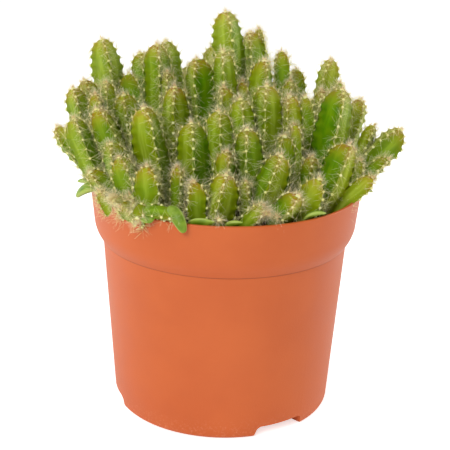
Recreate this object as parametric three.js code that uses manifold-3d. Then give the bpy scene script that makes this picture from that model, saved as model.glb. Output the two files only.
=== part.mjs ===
// A 12 cm plastic grow pot, planted with a dense clump of young column-cactus seedlings.
// Millimetres, +Z up. The origin is on the pot's axis, in the plane that the pot stands on.
// The front of the plant faces -Y.

import * as THREE from 'three';
import { mergeVertices } from 'three/addons/utils/BufferGeometryUtils.js';
import Module from 'manifold-3d';

const wasm = await Module();
wasm.setup();

// Pot: a tapering tub with a stepped rim band, moulded in one thin wall.
const RIM_RADIUS = 60;
const POT_HEIGHT = 101.4;
const BASE_RADIUS = 49.5;
const NECK_RADIUS = 54.7; // widest part of the tub, right under the band
const NECK_HEIGHT = 77.3;
const BAND_RADIUS = 58.3; // foot of the rim band
const BAND_HEIGHT = 84;
const WALL = 1.2;
const LIP_ROUND = 0.5;
const BAND_ROUND = 1.8; // where the band turns in to the neck
const BASE_ROUND = 1.8;
const POT_SEGMENTS = 80;

// Underside of the pot: three feet, parted by drain channels that meet in the middle.
const NOTCH_BEARINGS = [32.5, -76.5, 158]; // degrees round from the front
const NOTCH_HALF_ANGLE = 15.5; // at the ground
const NOTCH_TOP_HALF_ANGLE = 12.5;
const NOTCH_SHOULDER = 3.6; // where the rounding of its top begins
const NOTCH_HEIGHT = 4.8;
const HUB_RADIUS = 17;
const DRAIN_HOLE_RADIUS = 4;
const DRAIN_HOLE_RING = 33;
const PAST = 2; // how far a cutter runs past the face that it cuts

// Soil, filled to a little below the rim.
const SOIL_TOP = 95;
const GAP = 0.3; // between pieces that touch

// Stems: the foot is narrow, the body stays wide up to the shoulders and the tip is blunt.
// Foot rings: how far up to the shoulder, and the share of the full girth.
const FOOT_RINGS = [[0, 0.64], [0.3, 0.86]];
// Tip rings: how far under the tip, in girths, and the share of the full girth.
const TIP_RINGS = [[1.3, 1], [0.65, 0.92], [0.28, 0.72], [0.07, 0.38]];
const FACE_DEPTH = { 3: 0.6, 4: 0.78 }; // middle of a flat side against the crest, by number of ribs
const TWIST = 12; // degrees from foot to tip

const Y_AXIS = new THREE.Vector3(0, 1, 0);
const radians = THREE.MathUtils.degToRad;

// Joins and cuts.

function solid(geometry) {
  const bare = geometry.clone();
  bare.deleteAttribute('normal');
  bare.deleteAttribute('uv');
  const merged = mergeVertices(bare, 1e-4);
  const corners = merged.index.array;
  const triVerts = [];
  for (let i = 0; i < corners.length; i += 3) {
    const [a, b, c] = corners.subarray(i, i + 3);
    if (a !== b && b !== c && c !== a) {
      triVerts.push(a, b, c);
    }
  }
  return new wasm.Manifold(new wasm.Mesh({
    numProp: 3,
    vertProperties: new Float32Array(merged.attributes.position.array),
    triVerts: new Uint32Array(triVerts),
  }));
}

function geometryOf(manifold) {
  const mesh = manifold.getMesh();
  const geometry = new THREE.BufferGeometry();
  geometry.setAttribute('position', new THREE.BufferAttribute(mesh.vertProperties, 3));
  geometry.setIndex(new THREE.BufferAttribute(mesh.triVerts, 1));
  geometry.computeVertexNormals();
  return geometry;
}

// Turns a profile of [radius, height] points, from the axis round to the axis, about +Z.
function turned(profile) {
  const points = profile.map(([radius, height]) => new THREE.Vector2(radius, height));
  return new THREE.LatheGeometry(points, POT_SEGMENTS).rotateX(Math.PI / 2);
}

// A closed skin over rings that all have the same number of points, with flat or pointed ends.
function skinned(rings, lowEnd, highEnd) {
  const sides = rings[0].length;
  const position = [...rings.flat(), lowEnd, highEnd].flatMap((p) => p.toArray());
  const low = rings.length * sides;
  const high = low + 1;
  const index = [];
  for (let side = 0; side < sides; side += 1) {
    const next = (side + 1) % sides;
    index.push(low, next, side);
    for (let ring = 1; ring < rings.length; ring += 1) {
      const below = (ring - 1) * sides;
      const above = ring * sides;
      index.push(below + side, below + next, above + next);
      index.push(below + side, above + next, above + side);
    }
    const last = (rings.length - 1) * sides;
    index.push(last + side, last + next, high);
  }
  const geometry = new THREE.BufferGeometry();
  geometry.setAttribute('position', new THREE.Float32BufferAttribute(position, 3));
  geometry.setIndex(index);
  geometry.computeVertexNormals();
  return geometry;
}

// Pot.

// A wedge that widens away from the pot's axis and narrows upwards, grown by a margin all round.
function channel(bearing, margin) {
  const slope = [
    [-PAST, NOTCH_HALF_ANGLE],
    [NOTCH_SHOULDER, NOTCH_TOP_HALF_ANGLE + 1],
    [NOTCH_HEIGHT + margin, NOTCH_TOP_HALF_ANGLE - 1],
  ];
  const reach = RIM_RADIUS;
  const start = HUB_RADIUS / 2;
  const rings = slope.map(([height, halfAngle]) => {
    const spread = Math.tan(radians(halfAngle));
    return [[start, -1], [reach, -1], [reach, 1], [start, 1]].map(([along, side]) => {
      const across = side * (along * spread + margin);
      return new THREE.Vector3(across, -along, height);
    });
  });
  const middle = (ring) => new THREE.Vector3(0, -(start + reach) / 2, ring[0].z);
  const wedge = skinned(rings, middle(rings[0]), middle(rings.at(-1)));
  return wedge.rotateZ(radians(bearing));
}

// The raised Y of the drain channels with the round hub where they meet.
function channels(margin) {
  const hub = turned([
    [0, -PAST],
    [HUB_RADIUS + margin, -PAST],
    [HUB_RADIUS + margin, NOTCH_HEIGHT + margin],
    [0, NOTCH_HEIGHT + margin],
  ]);
  return NOTCH_BEARINGS.reduce(
    (joined, bearing) => joined.add(solid(channel(bearing, margin))),
    solid(hub),
  );
}

function drainHole(x, y) {
  const length = 2 * (NOTCH_HEIGHT + WALL + PAST);
  const hole = new THREE.CylinderGeometry(DRAIN_HOLE_RADIUS, DRAIN_HOLE_RADIUS, length, 20);
  return solid(hole.rotateX(Math.PI / 2).translate(x, y, 0));
}

function drainHoles() {
  return NOTCH_BEARINGS.reduce((holes, bearing) => {
    const angle = radians(bearing);
    const x = Math.sin(angle) * DRAIN_HOLE_RING;
    const y = -Math.cos(angle) * DRAIN_HOLE_RING;
    return holes.add(drainHole(x, y));
  }, drainHole(0, 0));
}

// How far the inside of the tub is from the axis at a height, below the rim band.
function tubInside(height) {
  const outside = THREE.MathUtils.mapLinear(height, 0, NECK_HEIGHT, BASE_RADIUS, NECK_RADIUS);
  return outside - WALL;
}

function potGeometry() {
  const bandFoot = [BAND_RADIUS - 0.6 * BAND_ROUND, BAND_HEIGHT - 1.7 * BAND_ROUND];
  const outside = turned([
    [0, 0],
    [BASE_RADIUS - BASE_ROUND, 0],
    [BASE_RADIUS - 0.3 * BASE_ROUND, 0.3 * BASE_ROUND],
    [BASE_RADIUS, BASE_ROUND],
    [NECK_RADIUS, NECK_HEIGHT],
    bandFoot,
    [BAND_RADIUS - 0.15 * BAND_ROUND, BAND_HEIGHT - BAND_ROUND],
    [BAND_RADIUS, BAND_HEIGHT],
    [RIM_RADIUS, POT_HEIGHT - LIP_ROUND],
    [RIM_RADIUS - 0.6 * LIP_ROUND, POT_HEIGHT],
    [0, POT_HEIGHT],
  ]);
  const inside = turned([
    [0, WALL],
    [tubInside(0) - BASE_ROUND, WALL],
    [tubInside(0), WALL + BASE_ROUND],
    [tubInside(NECK_HEIGHT), NECK_HEIGHT + WALL / 2],
    [bandFoot[0] - WALL, bandFoot[1] + WALL],
    [BAND_RADIUS - WALL, BAND_HEIGHT + WALL / 2],
    [RIM_RADIUS - WALL, POT_HEIGHT - LIP_ROUND],
    [RIM_RADIUS - WALL + 0.6 * LIP_ROUND, POT_HEIGHT],
    [RIM_RADIUS - WALL + 0.6 * LIP_ROUND, POT_HEIGHT + PAST],
    [0, POT_HEIGHT + PAST],
  ]);
  const hollow = solid(inside).subtract(channels(WALL));
  const pot = solid(outside).subtract(hollow).subtract(channels(0));
  return geometryOf(pot.subtract(drainHoles()));
}

// Soil: a plug that fills the pot, moulded over the raised floor.

function soilGeometry() {
  const clear = WALL + GAP * 1.2; // the sloping walls stay a full gap away too
  const bandInside = THREE.MathUtils.mapLinear(
    SOIL_TOP,
    BAND_HEIGHT,
    POT_HEIGHT,
    BAND_RADIUS,
    RIM_RADIUS,
  );
  const plug = turned([
    [0, clear],
    [BASE_RADIUS - BASE_ROUND - clear, clear],
    [BASE_RADIUS - clear, clear + BASE_ROUND],
    [NECK_RADIUS - clear, NECK_HEIGHT + clear],
    [BAND_RADIUS - clear, BAND_HEIGHT + clear],
    [bandInside - clear, SOIL_TOP],
    [0, SOIL_TOP],
  ]);
  return geometryOf(solid(plug).subtract(channels(clear)));
}

// Stems: each one stands where it was pricked out, in whole millimetres.
// x, y of the foot | how far the tip leans in x, y | height | girth | ribs | turn of the first rib
// | share of the lean that is reached half-way up, if the stem isn't straight
const STEMS = [
  // front row, at the rim
  [-42, -27, -15, -1, 18, 9, 3, 145],
  [-37, -35, -7, -1, 27, 9, 4, 20],
  [-30, -41, -2, -3, 26, 11, 3, 180],
  [-4, -44, 4, -3, 24, 12, 3, 13],
  [19, -44, 10, -6, 17, 10, 3, 140],
  [32, -36, 6, -3, 21, 11, 3, 175],
  [40, -25, 11, -1, 32, 13, 3, 23],
  // second row
  [-47, -17, -18, 0, 38, 10, 3, 38, 0.62],
  [-37, -12, -19, 0, 41, 10, 4, 30, 0.55],
  [-26, -22, -9, -2, 45, 13, 3, 41],
  [-11, -27, -4, -1, 40, 13, 3, 24],
  [-3, -19, -1, -3, 44, 10, 4, 0],
  [11, -27, -3, -1, 38, 11, 3, 14],
  [13, -37, 9, -1, 30, 12, 3, 11],
  // middle of the pot, left to right
  [-46, -7, -28, 2, 31, 8, 4, 60, 0.58],
  [-50, 2, -18, 3, 46, 10, 3, 30, 0.62],
  [-48, 12, -16, 1, 48, 9, 4, 10, 0.6],
  [-36, -1, -9, -4, 46, 11, 3, 20],
  [-22, -8, -1, 3, 50, 11, 3, 17],
  [-7, 2, -7, 0, 61, 13, 3, 8],
  [3, -7, -6, 7, 65, 9, 3, 18],
  [9, -17, -4, 1, 48, 9, 4, 0],
  [18, -12, -2, 0, 53, 12, 3, 13],
  [13, 0, 2, 2, 61, 10, 3, 37],
  [29, -9, -3, 1, 48, 9, 3, 5],
  [36, -1, -3, -3, 47, 8, 3, -50],
  [40, -14, 8, 3, 52, 14, 3, 24],
  [45, -5, 30, -1, 34, 12, 3, -17],
  [48, 5, 10, 2, 44, 9, 4, 15],
  // tall ones behind the middle
  [-46, 22, -11, -1, 65, 13, 3, 35],
  [-34, 12, -11, 8, 50, 11, 3, 60],
  [-28, 8, -4, 4, 65, 11, 3, 30],
  [-31, 27, -10, 6, 57, 9, 4, 0],
  [-21, 21, -8, 5, 64, 10, 3, 10],
  [-6, 18, -2, 8, 62, 9, 3, -40],
  [8, 11, -10, 1, 80, 13, 3, 31],
  [20, 15, -11, 5, 70, 11, 3, 10],
  [26, 8, -3, 6, 63, 8, 4, 35],
  [33, 9, 12, 5, 60, 9, 3, 0],
  // back of the pot
  [12, 27, 2, 5, 58, 10, 3, 100],
  [-16, 34, -3, 6, 50, 11, 3, 170],
  [2, 36, 0, 7, 52, 12, 3, 150],
  [26, 24, 5, 5, 52, 10, 4, 45],
  [40, 20, 10, 4, 46, 9, 3, 90],
  [35, 33, 10, 8, 34, 11, 3, 140],
  [19, 43, 5, 9, 42, 12, 3, 175],
  [-38, 36, -11, 8, 36, 10, 3, -150],
  [-25, 43, -5, 9, 40, 11, 4, 20],
  [-8, 48, -2, 7, 33, 11, 3, 160],
  [6, 50, 2, 6, 27, 9, 3, -170],
];
const STEM_COLOURS = [0x6f9406, 0x7ea020, 0x95a02e, 0x5f8c06];

// A stem leans from the soil to its tip in one bend. Its foot is cut level with the soil.
function stemGeometry([x, y, leanX, leanY, height, girth, ribs, turn, bow = 0.5]) {
  const foot = new THREE.Vector3(x, y, SOIL_TOP + GAP);
  const bend = new THREE.Vector3(leanX * bow, leanY * bow, height * (1 - bow)).add(foot);
  const tip = new THREE.Vector3(leanX, leanY, height - GAP).add(foot);
  const axis = new THREE.QuadraticBezierCurve3(foot, bend, tip);
  const length = axis.getLength();
  const shoulder = 1 - (TIP_RINGS[0][0] * girth) / length;
  const shape = [
    ...FOOT_RINGS.map(([along, share]) => [along * shoulder, share]),
    ...TIP_RINGS.map(([under, share]) => [1 - (under * girth) / length, share]),
  ];
  const rings = shape.map(([along, share], ring) => {
    const centre = axis.getPoint(along);
    const up = ring === 0 ? new THREE.Vector3(0, 0, 1) : axis.getTangent(along);
    const across = new THREE.Vector3().crossVectors(Y_AXIS, up).normalize();
    const away = new THREE.Vector3().crossVectors(up, across);
    return Array.from({ length: 2 * ribs }, (_, step) => {
      const crest = step % 2 === 0;
      const radius = (girth / 2) * share * (crest ? 1.15 : 1.15 * FACE_DEPTH[ribs]);
      const angle = radians(turn + TWIST * along) + (step * Math.PI) / ribs;
      return centre.clone()
        .addScaledVector(across, radius * Math.cos(angle))
        .addScaledVector(away, radius * Math.sin(angle));
    });
  });
  return skinned(rings, foot, tip);
}

// Seed leaves: the two thick first leaves of a seedling, lying over the rim or against it.
// root x, y, z | highest point of its bend x, y, z | tip x, y, z | width
const SEED_LEAVES = [
  [[-53, -23, 103], [-59, -22, 107], [-64, -20, 99], 6],
  [[-57, -12, 102.8], [-60, -12, 105], [-65, -10, 103], 3.5],
  [[-34, -47, 104], [-33, -52, 107], [-29.5, -56, 101], 9],
  [[-24, -52, 105], [-20, -59, 109.5], [-16, -61.2, 99], 7.5],
  [[-16, -52, 98], [-11, -56, 102], [-4, -57.5, 102.5], 5],
  [[1, -53, 98], [2, -56, 102], [7, -57.5, 102.6], 5],
  [[32, -44, 99], [35, -46, 104.5], [41, -45.5, 103.3], 5],
  [[52, -13, 99], [57, -15, 107], [63.5, -16, 103.5], 5],
];
const SEED_LEAF_THICKNESS = 1.4;
const SEED_LEAF_SHAPE = [[0.06, 0.45], [0.25, 0.85], [0.5, 1], [0.75, 0.88], [0.92, 0.5]];
const SEED_LEAF_SIDES = 8;

function seedLeafGeometry([root, bend, tip, width]) {
  const points = [root, bend, tip].map((point) => new THREE.Vector3(...point));
  const vein = new THREE.QuadraticBezierCurve3(...points);
  const outward = new THREE.Vector3(root[0], root[1], 0).normalize();
  const rings = SEED_LEAF_SHAPE.map(([along, share]) => {
    const heading = vein.getTangent(along);
    const level = new THREE.Vector3(-outward.y, outward.x, 0);
    const across = level.addScaledVector(heading, -level.dot(heading)).normalize();
    const through = new THREE.Vector3().crossVectors(heading, across);
    return Array.from({ length: SEED_LEAF_SIDES }, (_, step) => {
      const angle = (step * 2 * Math.PI) / SEED_LEAF_SIDES;
      return vein.getPoint(along)
        .addScaledVector(across, (width / 2) * share * Math.cos(angle))
        .addScaledVector(through, (SEED_LEAF_THICKNESS / 2) * Math.sin(angle));
    });
  });
  return skinned(rings, vein.getPoint(0), vein.getPoint(1));
}

// Assembly.

function piece(name, geometry, color, roughness) {
  const material = new THREE.MeshStandardMaterial({ color, roughness, metalness: 0 });
  const mesh = new THREE.Mesh(geometry, material);
  mesh.name = name;
  return mesh;
}

const plant = new THREE.Group();
plant.add(piece('pot', potGeometry(), 0xd57044, 0.5));
plant.add(piece('potting_soil', soilGeometry(), 0x2e2318, 0.95));
STEMS.forEach((stem, i) => {
  const name = `stem_${String(i + 1).padStart(2, '0')}`;
  plant.add(piece(name, stemGeometry(stem), STEM_COLOURS[i % STEM_COLOURS.length], 0.55));
});
SEED_LEAVES.forEach((leaf, i) => {
  plant.add(piece(`seed_leaf_${i + 1}`, seedLeafGeometry(leaf), 0x829d2e, 0.5));
});

export default plant;
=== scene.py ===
"""A potted clump of young column-cactus seedlings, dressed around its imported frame.

Metres, +Z up, and the front of the plant faces -Y.
"""

import math
import random

import bmesh
import bpy
from mathutils import Matrix, Vector, noise


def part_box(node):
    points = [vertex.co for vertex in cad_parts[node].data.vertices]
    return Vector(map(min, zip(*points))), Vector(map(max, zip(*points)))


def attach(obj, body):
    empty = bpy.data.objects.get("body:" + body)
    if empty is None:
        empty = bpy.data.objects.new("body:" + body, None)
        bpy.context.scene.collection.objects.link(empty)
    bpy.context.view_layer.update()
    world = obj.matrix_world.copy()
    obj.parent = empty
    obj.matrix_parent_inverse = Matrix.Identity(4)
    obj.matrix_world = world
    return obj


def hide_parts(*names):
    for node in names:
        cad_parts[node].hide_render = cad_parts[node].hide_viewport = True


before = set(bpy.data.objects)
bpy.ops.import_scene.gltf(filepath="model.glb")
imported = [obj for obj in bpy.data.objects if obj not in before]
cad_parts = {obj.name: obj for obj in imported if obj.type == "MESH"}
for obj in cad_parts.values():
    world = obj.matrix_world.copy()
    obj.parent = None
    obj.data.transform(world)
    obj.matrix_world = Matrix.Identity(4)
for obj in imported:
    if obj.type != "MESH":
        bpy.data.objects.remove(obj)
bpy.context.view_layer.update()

MM = 0.001


# Pot.
# One injection-moulded tub of terracotta-coloured polypropylene with a satin skin. Its wall steps out into a
# band under a thin rolled lip. It stands on three feet, parted by channels that lead water from its holes.

POT_SEGMENTS = 180
BASE_RADIUS, NECK_RADIUS, BAND_RADIUS, RIM_RADIUS = 49.5 * MM, 54.7 * MM, 58.3 * MM, 60 * MM
NECK_HEIGHT, BAND_FOOT_HEIGHT, BAND_HEIGHT = 77.3 * MM, 80.9 * MM, 84 * MM
NECK_LEDGE = 0.42 * MM  # the fine step where the mould's two halves met, just under the band
BAND_FOOT_RADIUS = BAND_RADIUS - 1.1 * MM
POT_WALL = 1.2 * MM
CHANNEL_BEARINGS = (32.5, -76.5, 158)  # degrees round from the front
CHANNEL_SLOPE = ((-2 * MM, 15.5), (3.6 * MM, 13.5), (4.8 * MM, 11.5))  # height, half angle
CHANNEL_START, CHANNEL_HUB_RADIUS = 9 * MM, 17 * MM
DRAIN_HOLE_RADIUS, DRAIN_HOLE_RING = 4 * MM, 33 * MM
DRAIN_PUNCH_HEIGHT, DRAIN_HOLE_SEGMENTS = 9 * MM, 32


def paint(red, green, blue):
    """A colour as a paint chip's 0 to 255 values, turned into the linear light that shaders take."""
    shares = (value / 255 for value in (red, green, blue))
    return (*(s / 12.92 if s <= 0.04045 else ((s + 0.055) / 1.055) ** 2.4 for s in shares), 1)


def node(tree, kind, inputs=None, **settings):
    """Adds a node. Its settings are its own properties, and its inputs are values or other nodes' sockets."""
    made = tree.nodes.new(kind)
    for name, value in settings.items():
        setattr(made, name, value)
    for key, value in (inputs or {}).items():
        if isinstance(value, bpy.types.NodeSocket):
            tree.links.new(value, made.inputs[key])
        else:
            made.inputs[key].default_value = value
    return made


def maths(tree, operation, *values):
    """One step of arithmetic on numbers or sockets."""
    return node(tree, "ShaderNodeMath", dict(enumerate(values)), operation=operation).outputs[0]


def times(tree, first, second):
    """Two numbers or sockets multiplied."""
    return maths(tree, "MULTIPLY", first, second)


def blended(tree, share, first, second):
    """Two colours mixed by a share from 0 to 1."""
    inputs = {0: share, 6: first, 7: second}
    return node(tree, "ShaderNodeMix", inputs, data_type="RGBA", clamp_factor=True).outputs[2]


def between(tree, value, low, high, to_low=0, to_high=1):
    """A value's place between two limits, smoothed at both ends."""
    made = node(
        tree,
        "ShaderNodeMapRange",
        {"Value": value, "From Min": low, "From Max": high, "To Min": to_low, "To Max": to_high},
        interpolation_type="SMOOTHSTEP",
    )
    return made.outputs[0]


def new_material(name, colour, roughness):
    """A material with its principled shader and a socket for coordinates fixed to the piece."""
    made = bpy.data.materials.new(name)
    made.use_nodes = True
    made.diffuse_color = colour
    shader = made.node_tree.nodes["Principled BSDF"]
    shader.inputs["Base Color"].default_value = colour
    shader.inputs["Roughness"].default_value = roughness
    place = node(made.node_tree, "ShaderNodeTexCoord").outputs["Object"]
    return made, made.node_tree, shader, place


def grain_group():
    """Soft patches and a fine grain over a surface, each from 0 to 1, at sizes given in metres."""
    group = bpy.data.node_groups.new("patches and grain", "ShaderNodeTree")
    face = group.interface
    face.new_socket("Place", in_out="INPUT", socket_type="NodeSocketVector")
    for name, size in (("Patch size", 0.02), ("Grain size", 0.001)):
        face.new_socket(name, in_out="INPUT", socket_type="NodeSocketFloat").default_value = size
    for name in ("Patches", "Grain"):
        face.new_socket(name, in_out="OUTPUT", socket_type="NodeSocketFloat")
    given = group.nodes.new("NodeGroupInput").outputs
    result = group.nodes.new("NodeGroupOutput").inputs
    for name, size, detail in (("Patches", "Patch size", 3), ("Grain", "Grain size", 2)):
        fineness = maths(group, "DIVIDE", 1, given[size])
        inputs = {"Vector": given["Place"], "Scale": fineness, "Detail": detail}
        noisy = node(group, "ShaderNodeTexNoise", inputs)
        group.links.new(between(group, noisy.outputs[0], 0.3, 0.7), result[name])
    return group


GRAIN = grain_group()


def grain(tree, place, patch_size, grain_size):
    """The patches and the fine grain of a surface."""
    inputs = {"Place": place, "Patch size": patch_size, "Grain size": grain_size}
    made = node(tree, "ShaderNodeGroup", inputs, node_tree=GRAIN)
    return made.outputs["Patches"], made.outputs["Grain"]


def bumped(tree, shader, height, depth):
    """Lets a height from 0 to 1 stand proud of the surface by a depth in metres."""
    bump = node(tree, "ShaderNodeBump", {"Height": height, "Distance": depth, "Strength": 1})
    tree.links.new(bump.outputs["Normal"], shader.inputs["Normal"])


def rounded(corners, steps=5):
    """An outline through corners of (radius, height, rounding), each turned by an arc where it is rounded."""
    outline = []
    for place, (radius, height, rounding) in enumerate(corners):
        corner = Vector((radius, height))
        if not rounding:
            outline.append(corner)
            continue
        start, end = (
            corner + (Vector(corners[other][:2]) - corner).normalized() * rounding
            for other in (place - 1, place + 1)
        )
        for step in range(steps + 1):
            share = step / steps
            outline.append(start.lerp(corner, share).lerp(corner.lerp(end, share), share))
    return outline


def add_object(name, shape):
    """Turns a bmesh into an object of its own."""
    mesh = bpy.data.meshes.new(name)
    shape.to_mesh(mesh)
    shape.free()
    made = bpy.data.objects.new(name, mesh)
    bpy.context.scene.collection.objects.link(made)
    return made


def turned(name, outline, segments=POT_SEGMENTS):
    """A solid turned about +Z from an outline that starts and ends on the axis."""
    shape = bmesh.new()
    rings = []
    for radius, height in outline:
        if radius < 1e-6:
            rings.append([shape.verts.new((0, 0, height))] * segments)
            continue
        angles = (2 * math.pi * step / segments for step in range(segments))
        rings.append([
            shape.verts.new((radius * math.cos(angle), radius * math.sin(angle), height)) for angle in angles
        ])
    for low, high in zip(rings, rings[1:]):
        for step in range(segments):
            beside = (step + 1) % segments
            corners = list(dict.fromkeys((low[step], low[beside], high[beside], high[step])))
            if len(corners) > 2:
                shape.faces.new(corners)
    bmesh.ops.recalc_face_normals(shape, faces=shape.faces)
    return add_object(name, shape)


def worked(body, tool, operation):
    """Cuts or joins a solid with another, which is used up."""
    step = body.modifiers.new(operation, "BOOLEAN")
    step.operation = operation
    step.solver = "MANIFOLD"
    step.object = tool
    result = bpy.data.meshes.new_from_object(body.evaluated_get(bpy.context.evaluated_depsgraph_get()))
    body.modifiers.clear()
    body.data = result
    bpy.data.objects.remove(tool)
    return body


def channels(margin):
    """The raised Y of drain channels with the round hub where they meet, grown by a margin all round."""
    top = CHANNEL_SLOPE[-1][0] + margin
    wide = CHANNEL_HUB_RADIUS + margin
    low = CHANNEL_SLOPE[0][0]
    joined = turned("channels", [(0, low), (wide, low), (wide, top), (0, top)])
    for bearing in CHANNEL_BEARINGS:
        shape = bmesh.new()
        rings = []
        for height, half_angle in (*CHANNEL_SLOPE[:-1], (top, CHANNEL_SLOPE[-1][1])):
            spread = math.tan(math.radians(half_angle))
            corners = ((CHANNEL_START, -1), (RIM_RADIUS, -1), (RIM_RADIUS, 1), (CHANNEL_START, 1))
            rings.append([
                shape.verts.new((side * (along * spread + margin), -along, height)) for along, side in corners
            ])
        for below, above in zip(rings, rings[1:]):
            for side in range(4):
                beside = (side + 1) % 4
                shape.faces.new((below[side], below[beside], above[beside], above[side]))
        shape.faces.new(rings[0])
        shape.faces.new(rings[-1])
        bmesh.ops.recalc_face_normals(shape, faces=shape.faces)
        shape.transform(Matrix.Rotation(math.radians(bearing), 4, "Z"))
        worked(joined, add_object("channel", shape), "UNION")
    return joined


def pot_body():
    """The moulded tub with its raised floor, its feet and its drain holes."""
    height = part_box("pot")[1].z
    inner_base = BASE_RADIUS - POT_WALL
    outside = rounded([
        (0, 0, 0),
        (BASE_RADIUS, 0, 1.8 * MM),
        (NECK_RADIUS, NECK_HEIGHT, 0.08 * MM),
        (NECK_RADIUS + NECK_LEDGE, NECK_HEIGHT + 0.05 * MM, 0.16 * MM),
        (BAND_FOOT_RADIUS, BAND_FOOT_HEIGHT, 1.2 * MM),
        (BAND_RADIUS, BAND_HEIGHT, 1.6 * MM),
        (RIM_RADIUS, height, 0.55 * MM),
        (RIM_RADIUS - POT_WALL, height, 0),
        (0, height, 0),
    ])
    inside = rounded([
        (0, POT_WALL, 0),
        (inner_base, POT_WALL, 1.5 * MM),
        (NECK_RADIUS - POT_WALL, NECK_HEIGHT + POT_WALL / 2, 0.8 * MM),
        (BAND_FOOT_RADIUS - POT_WALL, BAND_FOOT_HEIGHT + POT_WALL, 0.8 * MM),
        (BAND_RADIUS - POT_WALL, BAND_HEIGHT + POT_WALL / 2, 1.2 * MM),
        (RIM_RADIUS - POT_WALL, height - 0.5 * MM, 0.3 * MM),
        (RIM_RADIUS - POT_WALL + 0.3 * MM, height + 2 * MM, 0),
        (0, height + 2 * MM, 0),
    ])
    hollow = worked(turned("hollow", inside), channels(POT_WALL), "DIFFERENCE")
    body = worked(turned("grow_pot", outside), hollow, "DIFFERENCE")
    worked(body, channels(0), "DIFFERENCE")
    holes = [(0, 0)]
    for bearing in CHANNEL_BEARINGS:
        angle = math.radians(bearing)
        holes.append((math.sin(angle) * DRAIN_HOLE_RING, -math.cos(angle) * DRAIN_HOLE_RING))
    side = ((0, 0), (DRAIN_HOLE_RADIUS, 0), (DRAIN_HOLE_RADIUS, DRAIN_PUNCH_HEIGHT), (0, DRAIN_PUNCH_HEIGHT))
    for x, y in holes:
        punch = turned("punch", side, DRAIN_HOLE_SEGMENTS)
        punch.data.transform(Matrix.Translation((x, y, 0)))
        worked(body, punch, "DIFFERENCE")
    return body


def pot_plastic():
    """Satin terracotta-coloured plastic with a faint moulded grain. It is paler where it was rubbed at the
    foot, and has a painted line of shade in the crease under its band."""
    made, tree, shader, place = new_material("pot plastic", paint(207, 99, 42), 0.42)
    patches, fine = grain(tree, place, 0.03, 0.0006)
    colour = blended(tree, patches, paint(204, 96, 40), paint(210, 102, 45))
    height = node(tree, "ShaderNodeSeparateXYZ", {0: place}).outputs["Z"]
    inputs = {"Vector": place, "Scale": 900, "Detail": 4, "Roughness": 0.7}
    scuffs = node(tree, "ShaderNodeTexNoise", inputs).outputs[0]
    rubbed = times(tree, between(tree, height, 12 * MM, 0), between(tree, scuffs, 0.5, 0.75))
    colour = blended(tree, times(tree, rubbed, 0.5), colour, paint(232, 165, 128))
    # Painted shade: a dark line along the crease under the band.
    above = between(tree, height, NECK_HEIGHT - 0.5 * MM, NECK_HEIGHT)
    painted_crease_shade = times(tree, above, between(tree, height, NECK_HEIGHT + 0.5 * MM, NECK_HEIGHT + 0.1 * MM))
    colour = blended(tree, times(tree, painted_crease_shade, 0.6), colour, paint(140, 58, 22))
    tree.links.new(colour, shader.inputs["Base Color"])
    rough = maths(tree, "MULTIPLY_ADD", patches, 0.08, 0.4)
    tree.links.new(maths(tree, "MULTIPLY_ADD", rubbed, 0.2, rough), shader.inputs["Roughness"])
    shader.inputs["Specular IOR Level"].default_value = 0.4
    bumped(tree, shader, fine, 0.02 * MM)
    return made


def smooth(piece, sharp_above):
    """Shades a piece smoothly, apart from edges that turn by more than an angle in degrees."""
    piece.data.shade_smooth()
    piece.data.set_sharp_from_angle(angle=math.radians(sharp_above))


def finish_piece(piece, material, slot, *nodes):
    """Gives a piece its material, fixes it to the one body and hides the imported nodes that it stands for.
    The slot is not used.
    """
    if material:
        piece.data.materials.clear()
        piece.data.materials.append(material)
    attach(piece, "root")
    if nodes:
        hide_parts(*nodes)


grow_pot = pot_body()
smooth(grow_pot, 32)
finish_piece(grow_pot, pot_plastic(), "pot_plastic", "pot")


# Soil.
# Peat-based potting mix, pressed in a little below the lip, with loose crumbs on its top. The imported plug
# stays and is coloured as the mix, and a rough crust of crumbs lies over it.

SOIL_CRUST_SEGMENTS, SOIL_CRUST_RINGS = 96, 30
SOIL_CRUST_WALL_GAP = 0.6 * MM
SOIL_CRUST_RISE, SOIL_CRUST_LUMPS, SOIL_CRUST_SKIRT = 1.1 * MM, 0.9 * MM, 0.8 * MM
CRUMB_TURN = (6.28, 6.28, 6.28)  # at most, about each axis, in radians


def potting_mix():
    """Dark damp peat with brown fibres and a few pale grains."""
    made, tree, shader, place = new_material("potting mix", paint(52, 40, 28), 0.95)
    patches, fine = grain(tree, place, 0.006, 0.0009)
    colour = blended(tree, patches, paint(34, 26, 18), paint(74, 57, 38))
    specks = node(tree, "ShaderNodeTexVoronoi", {"Vector": place, "Scale": 420})
    pale = between(tree, specks.outputs["Distance"], 0.16, 0.1)
    colour = blended(tree, times(tree, pale, 0.5), colour, paint(150, 128, 92))
    tree.links.new(colour, shader.inputs["Base Color"])
    tree.links.new(maths(tree, "MULTIPLY_ADD", fine, 0.1, 0.88), shader.inputs["Roughness"])
    bumped(tree, shader, fine, 0.5 * MM)
    return made


def add_sockets(tree, *sockets):
    """Gives a geometry tree its mesh in and out, and its sizes by name, and returns its input sockets."""
    tree.interface.new_socket("Geometry", in_out="OUTPUT", socket_type="NodeSocketGeometry")
    tree.interface.new_socket("Geometry", in_out="INPUT", socket_type="NodeSocketGeometry")
    for name, kind, value in sockets:
        made = tree.interface.new_socket(name, in_out="INPUT", socket_type=f"NodeSocket{kind}")
        made.default_value = value
    return tree.nodes.new("NodeGroupInput").outputs


def random_number(tree, low, high, seed):
    """A random number for each point, between two sockets or values."""
    inputs = {2: low, 3: high, "Seed": seed}
    return node(tree, "FunctionNodeRandomValue", inputs, data_type="FLOAT").outputs[1]


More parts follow.
